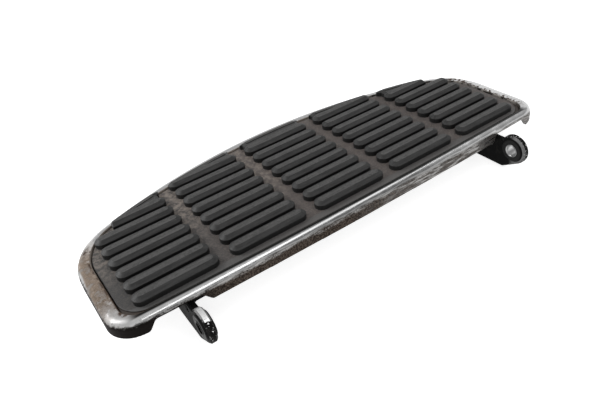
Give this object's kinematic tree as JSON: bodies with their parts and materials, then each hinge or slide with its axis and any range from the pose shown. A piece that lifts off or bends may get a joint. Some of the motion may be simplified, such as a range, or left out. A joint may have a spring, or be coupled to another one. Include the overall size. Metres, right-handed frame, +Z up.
{
  "type": "motorcycle floorboard",
  "caption": "D-shaped folding floorboard with a chromed pressed pan, a ribbed rubber pad and black plate arms bushed to hinge on a motorcycle's side brackets.",
  "frame": {"origin": "on the pivot axis of the arms, halfway between the two eyes", "axes": "+X along the board from its front arm to its rear arm, +Y out across it from the straight inner edge to the curved outer edge, +Z up through the tread"},
  "size_m": [0.354, 0.159, 0.0355],
  "materials": {
    "pan_chrome": "worn chrome with rust at the edges",
    "pad_rubber": "dusty, weathered",
    "plain_steel": "plain sheet",
    "fastener_steel": "dull zinc",
    "black_paint": "satin black, chipped at the edges",
    "bush_polymer": "matt",
    "sleeve_steel": "worn"
  },
  "bodies": {
    "pivot_sleeves": {"front_sleeve": "sleeve_steel", "rear_sleeve": "sleeve_steel"},
    "board": {"pan": "pan_chrome", "pad": "pad_rubber", "pad_plate": "plain_steel", "pad_studs": "fastener_steel", "pad_washers": "fastener_steel", "pad_lock_washers": "fastener_steel", "pad_nuts": "fastener_steel", "front_doubler": "plain_steel", "rear_doubler": "plain_steel", "front_arm": "black_paint", "rear_arm": "black_paint", "arm_studs": "fastener_steel", "arm_washers": "fastener_steel", "arm_lock_washers": "fastener_steel", "arm_nuts": "fastener_steel", "front_outer_bush": "bush_polymer", "front_inner_bush": "bush_polymer", "rear_inner_bush": "bush_polymer", "rear_outer_bush": "bush_polymer"}
  },
  "joints": [
    {"name": "board_fold", "type": "hinge", "parent": "pivot_sleeves", "child": "board", "pos_m": [0, 0, 0], "axis": [1, 0, 0], "range_deg": [0, 70]}
  ]
}
